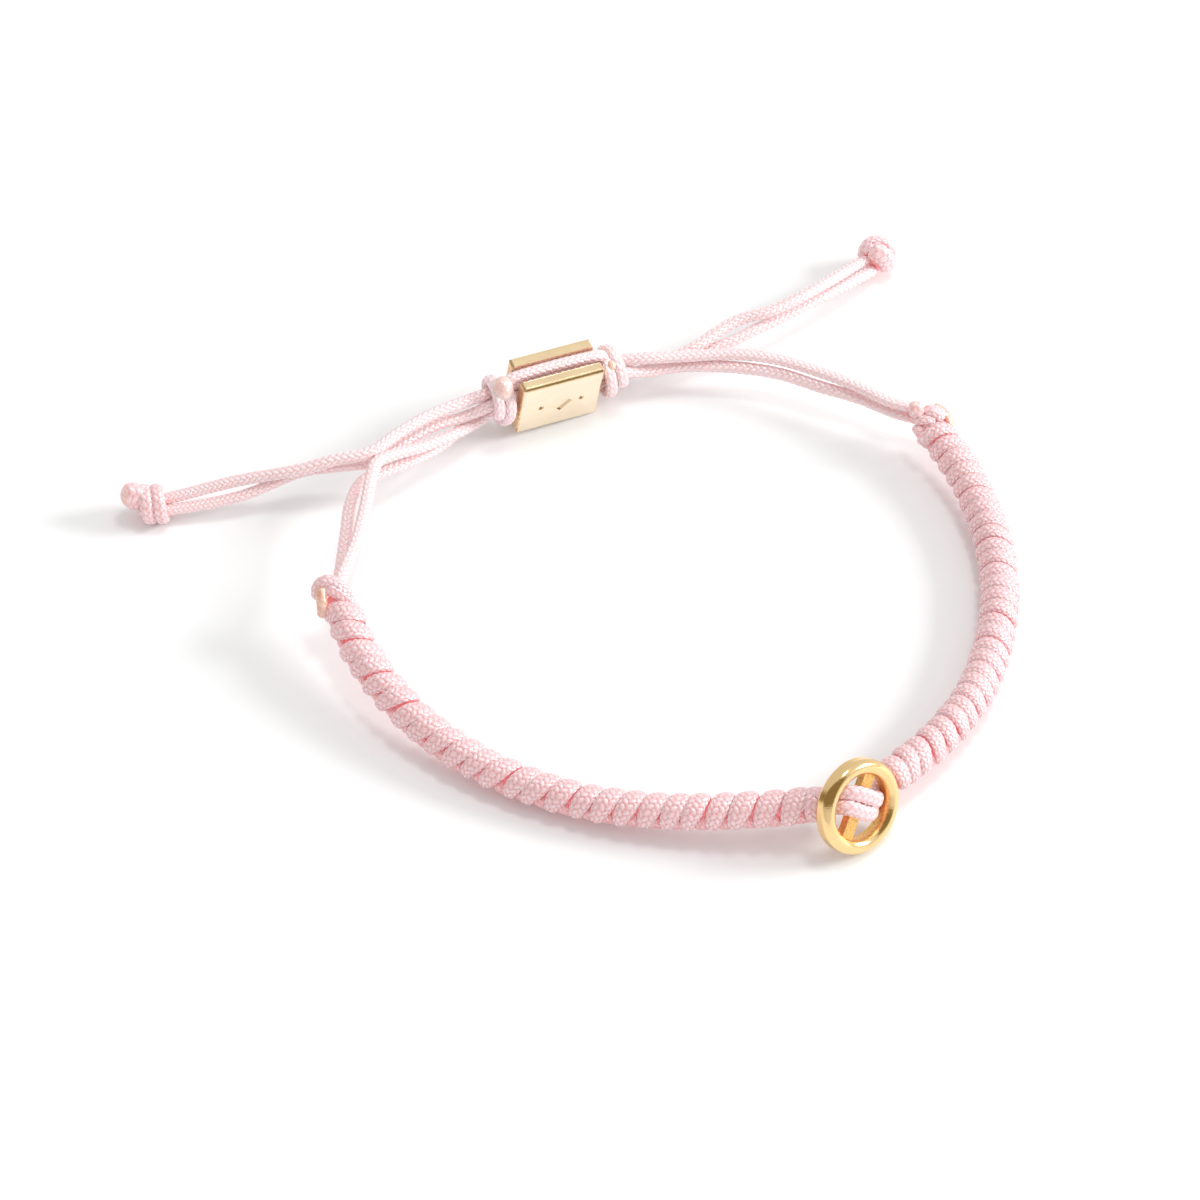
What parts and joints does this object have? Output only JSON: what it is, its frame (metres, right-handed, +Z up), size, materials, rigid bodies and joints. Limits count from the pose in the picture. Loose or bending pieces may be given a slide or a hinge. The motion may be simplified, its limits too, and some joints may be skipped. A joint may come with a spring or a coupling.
{
  "type": "woven cord bracelet with a ring charm and a slide bead",
  "caption": "Knotted cord bracelet lying open: ribbed woven arms, a gold ring with a crossbar at the front, and a slotted gold slide bead that gathers the knotted tails.",
  "frame": {"origin": "on the table, under the middle of the loop's bounding box (arms, ring, bead and the knots beside them, without the four free strands and their end knots)", "axes": "+Z up from the table; +X from the left arm towards the right arm, the loop's longest way; +Y from the ring at the front towards the bead at the back"},
  "size_m": [0.0758, 0.0714, 0.0078],
  "materials": {
    "woven_cord": "satin braided cord, pale pink, knotted in wraps",
    "plain_cord": "satin braided cord, pale pink",
    "knot_cord": "pale pink braided cord with melted, tan ends",
    "gold": "polished, warm gold plating"
  },
  "bodies": {
    "root": {"woven_arm_left": "woven_cord", "woven_arm_right": "woven_cord", "charm_ring": "gold", "slide_bead": "gold", "binding_cord": "plain_cord", "left_cord_front": "plain_cord", "left_cord_back": "plain_cord", "right_cord_front": "plain_cord", "right_cord_back": "plain_cord", "centre_cord_upper": "plain_cord", "centre_cord_lower": "plain_cord", "end_knot_left": "plain_cord", "end_knot_right": "plain_cord", "arm_knot_left": "knot_cord", "arm_knot_right": "knot_cord"}
  },
  "joints": []
}
